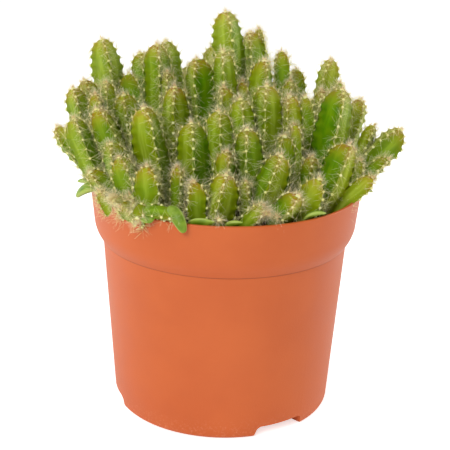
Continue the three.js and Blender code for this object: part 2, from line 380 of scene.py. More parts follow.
def put_out(tree, geometry, material):
    """Ends a geometry tree: its copies made real, in a material."""
    real = node(tree, "GeometryNodeRealizeInstances", {"Geometry": geometry}).outputs[0]
    coloured = node(tree, "GeometryNodeSetMaterial", {"Geometry": real, "Material": material}).outputs[0]
    result = tree.nodes.new("NodeGroupOutput")
    tree.links.new(coloured, result.inputs[0])
    return tree


def crumb_tree(material):
    """Scatters crumbs of many sizes over the crust they are given."""
    tree = bpy.data.node_groups.new("scattered crumbs", "GeometryNodeTree")
    given = add_sockets(
        tree,
        ("Density", "Float", 90000),
        ("Smallest", "Float", 0.4 * MM),
        ("Largest", "Float", 1.5 * MM),
        ("Seed", "Int", 4),
    )
    points = node(tree, "GeometryNodeDistributePointsOnFaces", {
        "Mesh": given["Geometry"], "Density": given["Density"], "Seed": given["Seed"],
    })
    crumb = node(tree, "GeometryNodeMeshIcoSphere", {"Radius": 1, "Subdivisions": 1})
    turn = node(tree, "FunctionNodeRandomValue", {1: CRUMB_TURN}, data_type="FLOAT_VECTOR")
    wide = random_number(tree, given["Smallest"], given["Largest"], given["Seed"])
    deep, tall = times(tree, wide, 0.7), times(tree, wide, 0.55)
    squat = node(tree, "ShaderNodeCombineXYZ", {0: wide, 1: deep, 2: tall})
    laid = node(tree, "GeometryNodeInstanceOnPoints", {
        "Points": points.outputs["Points"],
        "Instance": crumb.outputs["Mesh"],
        "Rotation": turn.outputs[0],
        "Scale": squat.outputs[0],
    })
    real = node(tree, "GeometryNodeRealizeInstances", {"Geometry": laid.outputs[0]})
    both = node(tree, "GeometryNodeJoinGeometry")
    tree.links.new(given["Geometry"], both.inputs[0])
    tree.links.new(real.outputs[0], both.inputs[0])
    return put_out(tree, both.outputs[0], material)


def grown(piece, tree, **sizes):
    """Runs a geometry tree on a piece with these sizes and keeps the result as its plain mesh."""
    step = piece.modifiers.new("grown", "NODES")
    step.node_group = tree
    for socket in tree.interface.items_tree:
        if socket.in_out == "INPUT" and socket.name in sizes:
            step[socket.identifier] = sizes[socket.name]
    result = bpy.data.meshes.new_from_object(piece.evaluated_get(bpy.context.evaluated_depsgraph_get()))
    piece.modifiers.clear()
    piece.data = result
    result.name = piece.name
    return piece


def soil_crust():
    """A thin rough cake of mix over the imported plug."""
    low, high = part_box("potting_soil")
    level = high.z
    wide = (high.x - low.x) / 2 - SOIL_CRUST_WALL_GAP
    shape = bmesh.new()
    rings = []
    for ring in range(SOIL_CRUST_RINGS + 1):
        radius = wide * ring / SOIL_CRUST_RINGS
        points = []
        for step in range(SOIL_CRUST_SEGMENTS if ring else 1):
            angle = 2 * math.pi * step / SOIL_CRUST_SEGMENTS
            x, y = radius * math.cos(angle), radius * math.sin(angle)
            lumps = noise.fractal(Vector((x, y, 0)) * 160, 0.6, 2.2, 4) * SOIL_CRUST_LUMPS
            points.append(shape.verts.new((x, y, level + SOIL_CRUST_RISE + lumps)))
        rings.append(points if ring else points * SOIL_CRUST_SEGMENTS)
    skirt = [shape.verts.new((edge.co.x, edge.co.y, level - SOIL_CRUST_SKIRT)) for edge in rings[-1]]
    rings.append(skirt)
    for inner, outer in zip(rings, rings[1:]):
        for step in range(SOIL_CRUST_SEGMENTS):
            beside = (step + 1) % SOIL_CRUST_SEGMENTS
            corners = (inner[step], outer[step], outer[beside], inner[beside])
            shape.faces.new(list(dict.fromkeys(corners)))
    shape.faces.new(skirt)
    bmesh.ops.recalc_face_normals(shape, faces=shape.faces)
    return add_object("soil_crust", shape)


SOIL_MIX = potting_mix()
crust = grown(soil_crust(), crumb_tree(SOIL_MIX))
finish_piece(crust, None, "potting_soil")
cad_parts["potting_soil"].data.materials.clear()
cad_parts["potting_soil"].data.materials.append(SOIL_MIX)


# Stems.
# Young column-cactus stems with three or four ribs. Each is one fleshy body with broad, slightly bulging
# sides, and its ribs swell at every areole. The foot is narrow, the tip is blunt, and both come from the
# packed stem that it stands for.

STEM_TWIST = 12  # degrees from foot to tip
RIB_REACH = 1.15  # from the middle to a rib, against half the girth
SHOULDER_DEPTH = 1.3  # how far below its tip a stem reaches its full girth, in girths
TIP_BLUNTNESS = 2.8
FOOT_SHARE, FOOT_TAPER = 0.64, 2.6  # the foot's girth against the full one, and how fast it swells to it
PLUMPNESS = 1.05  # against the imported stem
LINE_STEPS = 240
FINEST_RING_GAP, RING_GAP, RING_GAP_GROWTH = 0.1 * MM, 0.75 * MM, 1.35  # from the tip down
UNEVEN_GIRTH, UNEVEN_LENGTH = 0.035, 3.1 * MM
SWAY_SHARE = 0.035  # of the girth
ANY_PHASE = (0, 6.3)  # radians
AREOLE_GAP = 4.5 * MM
TIP_CROWDING = 1.5  # areoles per rib that are added close to the tip
TIP_REACH = 3 * MM


def layers(end):
    """The points of a solid in steps from one of them, each step the neighbours of the last."""
    found = [[end]]
    seen = {end}
    while found[-1]:
        beside = (edge.other_vert(point) for point in found[-1] for edge in point.link_edges)
        ring = [point for point in dict.fromkeys(beside) if point not in seen]
        seen.update(ring)
        found.append(ring)
    return found[:-1]


def merged_copy(name):
    """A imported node's mesh as a bmesh with its loose corners joined."""
    shape = bmesh.new()
    shape.from_mesh(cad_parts[name].data)
    bmesh.ops.remove_doubles(shape, verts=shape.verts, dist=1e-6)
    return shape


def packed_rings(name):
    """A packed stem's rings of points, from the middle of its foot to its tip. Only from those two points
    does every ring have the same number of points."""
    shape = merged_copy(name)
    for end in sorted(shape.verts, key=lambda point: point.co.z):
        rings = layers(end)
        if len(rings[-1]) == 1 and len({len(ring) for ring in rings[1:-1]}) == 1:
            found = [[point.co.copy() for point in ring] for ring in rings]
            shape.free()
            return found
    raise ValueError(f"{name} has no two ends")


def centre(points):
    """The middle of some points."""
    return sum(points, Vector()) / len(points)


def cross_axes(heading):
    """Two directions across a heading, the first one level."""
    across = Vector((0, 1, 0)).cross(heading).normalized()
    return across, heading.cross(across)


def curve_point(foot, bend, tip, share):
    """A point on the curve from foot to tip that a bend pulls aside, at a share of the way."""
    return foot.lerp(bend, share).lerp(bend.lerp(tip, share), share)


def curve_heading(foot, bend, tip, share):
    """The way that curve runs at a share of the way."""
    return (bend - foot).lerp(tip - bend, share).normalized()


def packed_stem(name):
    """A packed stem's line, girth, number of ribs and the bearing of its first rib at the foot."""
    rings = packed_rings(name)
    foot, tip = rings[0][0], rings[-1][0]
    shoulder = rings[3]
    hub = centre(shoulder)
    crest = max(shoulder, key=lambda point: (point - hub).length) - hub
    girth = 2 * crest.length / RIB_REACH
    line = [centre(ring) for ring in rings]
    length = sum((b - a).length for a, b in zip(line, line[1:]))
    share = 1 - SHOULDER_DEPTH * girth / length
    bend = (hub - foot * (1 - share) ** 2 - tip * share**2) / (2 * share * (1 - share))
    across, away = cross_axes(curve_heading(foot, bend, tip, share))
    turn = math.degrees(math.atan2(crest.dot(away), crest.dot(across))) - STEM_TWIST * share
    return foot, bend, tip, girth, len(shoulder) // 2, turn


def fullness(from_tip, length, girth):
    """The share of its full girth that a stem has at a distance from its tip."""
    shoulder = min(SHOULDER_DEPTH * girth, 0.8 * length)
    if from_tip < shoulder:
        return math.sqrt(max(0, 1 - (1 - from_tip / shoulder) ** TIP_BLUNTNESS))
    down = 1 - (length - from_tip) / (length - shoulder)
    return FOOT_SHARE + (1 - FOOT_SHARE) * (1 - down**FOOT_TAPER)


def areole_count(from_tip):
    """How many areoles a rib has between its tip and a distance from it. They crowd at the tip."""
    return from_tip / AREOLE_GAP + TIP_CROWDING * (1 - math.exp(-from_tip / TIP_REACH))


def stem_line(foot, bend, tip, girth, turn, seed):
    """Places along a stem from foot to tip: point, heading, first rib's direction, rib radius, distance from
    the tip. The line wanders a little, and the stem is a little fuller in places, as real growth is."""
    chance = random.Random(seed)
    line = [curve_point(foot, bend, tip, step / LINE_STEPS) for step in range(LINE_STEPS + 1)]
    travelled = [0]
    for a, b in zip(line, line[1:]):
        travelled.append(travelled[-1] + (b - a).length)
    length = travelled[-1]
    from_tip = [0]
    gap = FINEST_RING_GAP
    while from_tip[-1] < length:
        from_tip.append(min(length, from_tip[-1] + gap))
        gap = min(gap * RING_GAP_GROWTH, RING_GAP)
    if from_tip[-1] - from_tip[-2] < 0.2 * RING_GAP:
        del from_tip[-2]
    sway = Vector((chance.uniform(-1, 1), chance.uniform(-1, 1), 0)) * SWAY_SHARE * girth
    waves, start = chance.uniform(1.5, 3.5), chance.uniform(*ANY_PHASE)
    swell = chance.uniform(*ANY_PHASE)
    places = []
    step = LINE_STEPS
    for distance in from_tip:
        while step > 0 and travelled[step] > length - distance:
            step -= 1
        step_length = travelled[min(step + 1, LINE_STEPS)] - travelled[step]
        extra = (length - distance - travelled[step]) / step_length if step_length else 0
        share = min(1, (step + extra) / LINE_STEPS)
        heading = curve_heading(foot, bend, tip, share)
        across, away = cross_axes(heading)
        angle = math.radians(turn + STEM_TWIST * share)
        swayed = sway * math.sin(math.pi * share) * math.sin(waves * math.pi * share + start)
        point = curve_point(foot, bend, tip, share) + swayed
        fatter = 1 + UNEVEN_GIRTH * math.sin(distance / UNEVEN_LENGTH + swell) * min(1, distance / (6 * MM))
        radius = RIB_REACH / 2 * girth * PLUMPNESS * fullness(distance, length, girth) * fatter
        first_rib = across * math.cos(angle) + away * math.sin(angle)
        places.append((point, heading, first_rib, radius, distance))
    places.reverse()
    return places


def read(tree, name, kind="FLOAT"):
    """A named attribute as a field."""
    return node(tree, "GeometryNodeInputNamedAttribute", {"Name": name}, data_type=kind).outputs[0]


def store(tree, geometry, name, value, kind="FLOAT", domain="POINT"):
    """Keeps a field on the mesh under a name."""
    inputs = {"Geometry": geometry, "Name": name, "Value": value}
    made = node(tree, "GeometryNodeStoreNamedAttribute", inputs, data_type=kind, domain=domain)
    return made.outputs[0]


def vector_maths(tree, operation, *values):
    """One step of arithmetic on vectors."""
    return node(tree, "ShaderNodeVectorMath", dict(enumerate(values)), operation=operation).outputs[0]


def scaled(tree, vector, share):
    """A vector made longer or shorter."""
    return node(tree, "ShaderNodeVectorMath", {0: vector, "Scale": share}, operation="SCALE").outputs[0]


def stem_section(tree, given):
    """A stem's section, a polygon with as many corners as ribs, its sides bulged towards a circle. It carries
    how near a rib each point is, which side it is on, and where it is in the section."""
    count = times(tree, given["Ribs"], given["Points per rib"])
    circle = node(tree, "GeometryNodeCurvePrimitiveCircle", {"Resolution": count, "Radius": 1})
    index = node(tree, "GeometryNodeInputIndex").outputs[0]
    ribs_round = maths(tree, "DIVIDE", index, given["Points per rib"])
    rib = maths(tree, "FLOOR", maths(tree, "ADD", ribs_round, 0.5))
    side = maths(tree, "FLOOR", ribs_round)
    phase = maths(tree, "FRACT", ribs_round)
    crowding = times(tree, maths(tree, "SINE", times(tree, phase, 2 * math.pi)), given["Rib crowding"])
    phase = maths(tree, "SUBTRACT", phase, crowding)
    half = maths(tree, "DIVIDE", math.pi, given["Ribs"])
    in_rib = times(tree, times(tree, phase, 2), half)
    angle = maths(tree, "ADD", in_rib, times(tree, side, times(tree, half, 2)))
    flat_middle = maths(tree, "COSINE", half)
    from_middle = maths(tree, "SUBTRACT", in_rib, half)
    flat = maths(tree, "DIVIDE", flat_middle, maths(tree, "COSINE", from_middle))
    fuller = maths(tree, "SUBTRACT", given["Side fullness"], flat_middle)
    bulge = maths(tree, "DIVIDE", fuller, maths(tree, "SUBTRACT", 1, flat_middle))
    reach = maths(tree, "ADD", times(tree, flat, maths(tree, "SUBTRACT", 1, bulge)), bulge)
    near = maths(tree, "COSINE", times(tree, phase, 2 * math.pi))
    near = maths(tree, "MULTIPLY_ADD", near, 0.5, 0.5)
    edge = maths(tree, "SUBTRACT", maths(tree, "POWER", near, 10), 0.5)
    reach = maths(tree, "ADD", reach, times(tree, edge, given["Rib edge"]))
    section = node(tree, "ShaderNodeCombineXYZ", {
        0: times(tree, reach, maths(tree, "COSINE", angle)),
        1: times(tree, reach, maths(tree, "SINE", angle)),
    }).outputs[0]
    profile = store(tree, circle.outputs[0], "crest", near)
    profile = store(tree, profile, "rib_share", maths(tree, "DIVIDE", rib, given["Ribs"]))
    profile = store(tree, profile, "side", side)
    profile = store(tree, profile, "section", section, "FLOAT_VECTOR")
    return node(tree, "GeometryNodeSetPosition", {"Geometry": profile, "Position": section}).outputs[0]


def areole_swelling(tree, given):
    """How far each point moves out, because the ribs swell at their areoles and draw in between them."""
    place = node(tree, "GeometryNodeInputPosition").outputs[0]
    outward = vector_maths(tree, "SUBTRACT", place, read(tree, "axis_point", "FLOAT_VECTOR"))
    past_areole = maths(tree, "SUBTRACT", read(tree, "areoles_above"), read(tree, "rib_share"))
    wave = maths(tree, "COSINE", times(tree, past_areole, 2 * math.pi))
    wave = maths(tree, "POWER", maths(tree, "MULTIPLY_ADD", wave, 0.5, 0.5), 2.2)
    wave = maths(tree, "SUBTRACT", wave, 0.4)
    strength = times(tree, maths(tree, "POWER", read(tree, "crest"), 5), given["Areole swelling"])
    return scaled(tree, outward, times(tree, wave, strength))


def uneven_flesh(tree, given):
    """How far each point moves in or out, because flesh is a little uneven all over."""
    place = node(tree, "GeometryNodeInputPosition").outputs[0]
    lumps = node(tree, "ShaderNodeTexNoise", {"Vector": place, "Scale": 210, "Detail": 2}).outputs[0]
    lumps = times(tree, maths(tree, "SUBTRACT", lumps, 0.5), times(tree, given["Unevenness"], 4))
    return scaled(tree, node(tree, "GeometryNodeInputNormal").outputs[0], lumps)


def stem_tree(material):
    """Skins a ribbed stem over a line that knows its rib radius, first rib and areole count at each point."""
    tree = bpy.data.node_groups.new("ribbed stem", "GeometryNodeTree")
    given = add_sockets(
        tree,
        ("Ribs", "Int", 3),
        ("Points per rib", "Int", 12),
        ("Side fullness", "Float", 0.57),
        ("Rib edge", "Float", 0.07),
        ("Rib crowding", "Float", 0.09),
        ("Areole swelling", "Float", 0.17),
        ("Unevenness", "Float", 0.14 * MM),
    )
    profile = stem_section(tree, given)
    line = node(tree, "GeometryNodeMeshToCurve", {"Mesh": given["Geometry"]}).outputs[0]
    place = node(tree, "GeometryNodeInputPosition").outputs[0]
    line = store(tree, line, "axis_point", place, "FLOAT_VECTOR")
    inputs = {"Curve": line, "Normal": read(tree, "first_rib", "FLOAT_VECTOR")}
    line = node(tree, "GeometryNodeSetCurveNormal", inputs, mode="FREE").outputs[0]
    skin = node(tree, "GeometryNodeCurveToMesh", {
        "Curve": line, "Profile Curve": profile, "Scale": read(tree, "rib_radius"), "Fill Caps": True,
    }).outputs[0]
    for offset in (areole_swelling(tree, given), uneven_flesh(tree, given)):
        skin = node(tree, "GeometryNodeSetPosition", {"Geometry": skin, "Offset": offset}).outputs[0]
    own = scaled(tree, read(tree, "section", "FLOAT_VECTOR"), read(tree, "rib_radius"))
    lift = node(tree, "ShaderNodeCombineXYZ", {2: read(tree, "from_tip")}).outputs[0]
    skin = store(tree, skin, "own_place", vector_maths(tree, "ADD", own, lift), "FLOAT_VECTOR")
    skin = node(tree, "GeometryNodeMergeByDistance", {"Geometry": skin, "Distance": 0.02 * MM}).outputs[0]
    skin = node(tree, "GeometryNodeSetShadeSmooth", {"Geometry": skin}).outputs[0]
    return put_out(tree, skin, material)


def attribute(tree, name, output="Fac"):
    """An attribute of the piece, in its material."""
    return node(tree, "ShaderNodeAttribute", attribute_name=name).outputs[output]


def blended_number(tree, share, low, high):
    """A number between two others."""
    return maths(tree, "MULTIPLY_ADD", maths(tree, "SUBTRACT", high, low), share, low)


def cactus_skin():
    """Satin green skin with a painted highlight along the middle of each side, deeper beside the ribs, and
    painted light and shade that make each whole side lighter or darker. It is olive to red-brown on the young
    growth at the tip and on the ribs near it."""
    made, tree, shader, _ = new_material("cactus skin", paint(118, 150, 30), 0.4)
    own = attribute(tree, "own_place", "Vector")
    crest, from_tip = attribute(tree, "crest"), attribute(tree, "from_tip")
    tone, blush = attribute(tree, "tone"), attribute(tree, "blush")
    offset = node(tree, "ShaderNodeCombineXYZ", {0: tone, 1: blush}).outputs[0]
    place = vector_maths(tree, "ADD", own, offset)
    patches, fine = grain(tree, place, 0.0042, 0.00035)
    long_way = vector_maths(tree, "MULTIPLY", place, (1, 1, 0.16))
    streaks = node(tree, "ShaderNodeTexNoise", {"Vector": long_way, "Scale": 620, "Detail": 3}).outputs[0]
    # Painted light and shade: each side takes its own lighter or darker green, as if light fell on it.
    side = maths(tree, "ROUND", attribute(tree, "side"))
    painted_lights = attribute(tree, "painted_side_light", "Vector")
    first, second, third = node(tree, "ShaderNodeSeparateXYZ", {0: painted_lights}).outputs
    side_light = blended_number(tree, maths(tree, "COMPARE", side, 1, 0.1), first, second)
    side_light = blended_number(tree, maths(tree, "COMPARE", side, 2, 0.1), side_light, third)
    deep = blended(tree, side_light, paint(74, 124, 0), paint(146, 160, 4))
    light = blended(tree, side_light, paint(104, 152, 0), paint(194, 206, 76))
    # Painted highlight: a paler band along the middle of each side, fading towards the ribs.
    painted_sheen = times(tree, between(tree, crest, 0.85, 0.1), between(tree, streaks, 0.35, 0.65, 0.3, 1))
    colour = blended(tree, painted_sheen, deep, light)
    colour = blended(tree, times(tree, patches, 0.25), colour, paint(160, 180, 10))
    young = between(tree, from_tip, 9 * MM, 0.5 * MM)
    olive = times(tree, young, maths(tree, "MULTIPLY_ADD", blush, 0.45, 0.2))
    colour = blended(tree, olive, colour, paint(190, 172, 36))
    ridge = between(tree, crest, 0.8, 0.99)
    blotches = node(tree, "ShaderNodeTexNoise", {"Vector": place, "Scale": 520}).outputs[0]
    mottled = between(tree, blotches, 0.42, 0.6)
    ridge = times(tree, ridge, maths(tree, "MULTIPLY_ADD", young, 0.5, 0.1))
    ridge = maths(tree, "MAXIMUM", ridge, times(tree, between(tree, from_tip, 4.5 * MM, 0), mottled))
    reddened = times(tree, ridge, maths(tree, "MULTIPLY_ADD", blush, 0.7, 0.25))
    colour = blended(tree, reddened, colour, paint(158, 98, 32))
    tree.links.new(colour, shader.inputs["Base Color"])
    tree.links.new(maths(tree, "MULTIPLY_ADD", patches, 0.14, 0.4), shader.inputs["Roughness"])
    shader.inputs["Specular IOR Level"].default_value = 0.12
    shader.inputs["Subsurface Weight"].default_value = 0.12
    shader.inputs["Subsurface Radius"].default_value = (0.4, 0.9, 0.1)
    shader.inputs["Subsurface Scale"].default_value = 2 * MM
    bumped(tree, shader, maths(tree, "ADD", times(tree, streaks, 0.8), fine), 0.06 * MM)
    return made


STEM_SKIN = cactus_skin()
STEM_TREE = stem_tree(STEM_SKIN)
SIDE_FULLNESS = {3: 0.55, 4: 0.76}  # middle of a side against the rib, by number of ribs


def line_object(name, places, tone, blush, painted_lights):
    """A stem's line as a chain of edges that carries what its skin is made from."""
    mesh = bpy.data.meshes.new(name)
    mesh.from_pydata([p[0] for p in places], [(i, i + 1) for i in range(len(places) - 1)], [])
    for label, kind, values in (
        ("first_rib", "FLOAT_VECTOR", [axis for p in places for axis in p[2]]),
        ("rib_radius", "FLOAT", [p[3] for p in places]),
        ("from_tip", "FLOAT", [p[4] for p in places]),
        ("areoles_above", "FLOAT", [areole_count(p[4]) for p in places]),
        ("tone", "FLOAT", [tone] * len(places)),
        ("blush", "FLOAT", [blush] * len(places)),
        ("painted_side_light", "FLOAT_VECTOR", painted_lights * len(places)),
    ):
        layer = mesh.attributes.new(label, kind, "POINT")
        layer.data.foreach_set("vector" if kind == "FLOAT_VECTOR" else "value", values)
    made = bpy.data.objects.new(name, mesh)
    bpy.context.scene.collection.objects.link(made)
    return made


# Painted light and shade on the left and right front sides of the stems that stand out at the front: 0 deep,
# 1 pale.
FRONT_PAINTED_LIGHT = {
    "stem_01": (0.2, 0.2),
    "stem_02": (0.25, 0.15),
    "stem_03": (0.3, 0.4),
    "stem_04": (0.8, 0.7),
    "stem_05": (0.1, 0.6),
    "stem_06": (0.6, 0.75),
    "stem_07": (0.05, 0.8),
    "stem_08": (0.5, 0.2),
    "stem_09": (0.15, 0.25),
    "stem_10": (0.6, 0.3),
    "stem_11": (0.6, 0.1),
    "stem_12": (0.5, 0.35),
    "stem_13": (0.3, 0.2),
    "stem_14": (0.2, 0.75),
    "stem_15": (0.3, 0.3),
    "stem_16": (0.45, 0.3),
    "stem_18": (0.4, 0.3),
    "stem_19": (0.6, 0.55),
    "stem_20": (0.45, 0),
    "stem_22": (0.4, 0.3),
    "stem_23": (0.4, 0.55),
    "stem_24": (0.6, 0.3),
    "stem_26": (0.2, 0.3),
    "stem_27": (0, 0.5),
    "stem_28": (0.25, 0.3),
    "stem_29": (0.7, 0.7),
    "stem_31": (0.1, 0.1),
    "stem_32": (0.35, 0.3),
    "stem_33": (0.2, 0.2),
    "stem_38": (0.2, 0.2),
    "stem_39": (0.9, 0.9),
}


FRONT_WAYS = (Vector((-0.5, -0.87, 0)), Vector((0.5, -0.87, 0)))  # front left and front right
# Painted light and shade on the sides: partly random for each side, partly the stem's own tone.
OWN_PAINTED_LIGHT = 0.55  # how much of a side's shade is its own, and the rest is the whole stem's


def painted_side_light(name, places, ribs, tone):
    """The painted light and shade on each of a stem's first three sides, which makes each side lighter or
    darker as a whole. A fourth side looks like the first."""
    chance = random.Random(f"{name} sides")
    painted_lights = [OWN_PAINTED_LIGHT * chance.random() + (1 - OWN_PAINTED_LIGHT) * tone for _ in range(ribs)]
    _, heading, first_rib, _, _ = places[len(places) // 2]
    turns = [Matrix.Rotation(2 * math.pi * (side + 0.5) / ribs, 3, heading) for side in range(ribs)]
    ways = [turn @ first_rib for turn in turns]
    for front, side_light in zip(FRONT_WAYS, FRONT_PAINTED_LIGHT.get(name, ())):
        painted_lights[max(range(ribs), key=lambda side: ways[side].dot(front))] = side_light
    return painted_lights[:3]


STEMS = []  # every stem's line and looks, for the felt and bristles that grow on it


def add_stem(name, stem, tone, blush, bristles, *nodes):
    """Skins one stem, and notes it for the pass that grows its felt and bristles."""
    foot, bend, tip, girth, ribs, turn = stem
    places = stem_line(foot, bend, tip, girth, turn, seed=name)
    painted_lights = painted_side_light(name.removesuffix("_skin"), places, ribs, tone)
    piece = grown(line_object(name, places, tone, blush, painted_lights), STEM_TREE,
                  **{"Ribs": ribs, "Side fullness": SIDE_FULLNESS[ribs]})
    finish_piece(piece, None, "cactus_skin", *nodes)
    STEMS.append((places, ribs, blush, bristles))


PACKED_STEM_BRISTLES = 15  # on an areole
looks = random.Random(11)
for name in sorted(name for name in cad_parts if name.startswith("stem_")):
    tone, blush = looks.uniform(0, 1), looks.uniform(0.1, 0.9)
    add_stem(f"{name}_skin", packed_stem(name), tone, blush, PACKED_STEM_BRISTLES, name)


# Small seedlings.
# Younger stems of the same kind, with the same skin, that stand in the soil and fill the gaps in the clump.
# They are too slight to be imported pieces, so they have no packed stem to follow.

SMALL_STEM_BEND = (0.45, 0.55)  # where the bend is, as a share of the lean and of the height
SMALL_STEM_BRISTLES = 14
SMALL_SEEDLINGS = [
    # foot x, y | how far the tip leans in x, y | height | girth | ribs | turn of the first rib
    (-26, 2, -1, 4, 54, 6, 3, 20),
    (23, 20, -10, 4, 71, 5.5, 3, 50),
    (0, -10, -2, 2, 51, 7, 3, 0),
    (42, 6, 7, 2, 51, 5.3, 3, 80),
    (36, 5, 5, -1, 48, 5.7, 3, 10),
    (48, -14, 21, 0, 23, 5, 3, 30),
    (47, -22, 15, 0, 17, 7, 3, 60),
    (33, -24, 3, 0, 26, 7, 3, 20),
    (30, -18, -2, 0, 38, 5.5, 3, 90),
    (-43, -26, -5, -4, 31, 10, 3, 15),
    (-20, -36, 0, -2, 24, 5, 4, 20),
    (-12, -46, -1, -2, 21, 8, 3, -10),
    (-1, -32, 1, -2, 30, 9, 3, 35),
    (6, -50, 9, -2, 13, 5.6, 3, 60),
    (-52, -4, -5, -1, 46, 6, 3, 45),
    (-48, 3, -5, -3, 50, 6, 3, 15),
    (8, 3, -2, 2, 51, 5.5, 3, 70),
    (26, 4, 1, 4, 51, 5.5, 4, 0),
    (52, -3, 12, 3, 34, 6, 3, 20),
    (49, -19, 8, 1, 23, 5.5, 3, 75),
    (22, -20, 2, -2, 34, 9, 3, -5),
    (9, -36, -1, -4, 19, 6, 3, 40),
    (-41, -37, -5, -3, 12, 5, 3, 0),
    (-36, -40, -3, -2, 13, 5, 3, 50),
]
SOIL_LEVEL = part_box("potting_soil")[1].z

for number, (x, y, lean_x, lean_y, height, girth, ribs, turn) in enumerate(SMALL_SEEDLINGS, 1):
    foot = Vector((x, y, 0)) * MM + Vector((0, 0, SOIL_LEVEL))
    tip = foot + Vector((lean_x, lean_y, height)) * MM
    sideways, upwards = SMALL_STEM_BEND
    bend = foot + Vector((lean_x * sideways, lean_y * sideways, height * upwards)) * MM
    stem = (foot, bend, tip, girth * MM, ribs, turn)
    tone, blush = looks.uniform(0.1, 0.8), looks.uniform(0.1, 0.7)
    add_stem(f"small_stem_{number:02d}", stem, tone, blush, SMALL_STEM_BRISTLES)


# Rim seedlings.
# The youngest stems, which crowd the front left of the pot's lip. They lean out over it, and one has fallen
# along it. They have the same skin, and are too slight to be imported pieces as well.

RIM_SEEDLINGS = [
    # foot | bend | tip | girth | ribs | turn | bristles on an areole
    ((-40, -37, 95), (-42, -40, 102), (-45, -44, 107), 6.5, 3, 10, 16),
    ((-37, -42, 95), (-39, -45, 103), (-42, -49, 105), 7, 3, 40, 16),
    ((-31, -44, 95), (-33, -49, 106), (-35, -56, 102.5), 8, 3, 0, 18),
    ((-38, -41, 96), (-34, -55, 107.5), (-18, -58, 103.8), 5.5, 3, 20, 6),
    ((-47, -33, 95), (-49, -35, 102), (-52, -38, 108), 5, 3, 60, 20),
]
for number, (foot, bend, tip, girth, ribs, turn, bristles) in enumerate(RIM_SEEDLINGS, 1):
    stem = (*(Vector(place) * MM for place in (foot, bend, tip)), girth * MM, ribs, turn)
    tone, blush = looks.uniform(0.1, 0.6), looks.uniform(0.1, 0.4)
    add_stem(f"rim_stem_{number}", stem, tone, blush, bristles)


# Felt pads and bristles.
# Each areole is a pad of cream felt on the crest of a rib. A ring of fine pale bristles grows out of it, and
# the tip of every stem ends in a denser, pinker tuft.

YOUNG_REACH = 7 * MM  # how far below a tip the areoles are still young
YOUNG_EXTRA_BRISTLES = 8
BRISTLE_LENGTH, YOUNG_BRISTLE_LOSS = 5.8 * MM, 1.8 * MM
PAD_WIDTH, YOUNG_PAD_LOSS, WIDEST_TIP_PAD = 1.25 * MM, 0.2 * MM, 2.2 * MM
PAD_LIFT = 1.06  # from the stem's middle, against the rib's reach
AREOLE_TILTS = (math.radians(38), math.radians(100))  # from the way that the areole faces
TIP_TUFT_BRISTLES, TIP_TUFT_LENGTH, TIP_TUFT_DEPTH = 70, 4.2 * MM, 0.3 * MM
TIP_TUFT_TILTS = (0.1, math.radians(95))


def felt():
    """Short cream felt, yellower in its middle."""
    made, tree, shader, place = new_material("areole felt", paint(253, 253, 196), 0.9)
    patches, fine = grain(tree, place, 0.003, 0.0002)
    colour = blended(tree, patches, paint(252, 250, 160), paint(255, 255, 205))
    tree.links.new(colour, shader.inputs["Base Color"])
    tree.links.new(maths(tree, "MULTIPLY_ADD", fine, 0.1, 0.85), shader.inputs["Roughness"])
    bumped(tree, shader, fine, 0.1 * MM)
    return made


def bristle():
    """Fine translucent bristle: greenish white, or pinkish beige where it is young."""
    made, tree, shader, _ = new_material("bristle", paint(215, 214, 165), 0.5)
    along, pink = attribute(tree, "along"), attribute(tree, "pink")
    colour = blended(tree, pink, paint(246, 238, 146), paint(252, 214, 158))
    tips = blended(tree, pink, paint(255, 250, 196), paint(255, 240, 208))
    colour = blended(tree, between(tree, along, 0.1, 0.9), colour, tips)
    tree.links.new(colour, shader.inputs["Base Color"])
    tree.links.new(maths(tree, "MULTIPLY_ADD", along, -0.1, 0.55), shader.inputs["Roughness"])
    return made


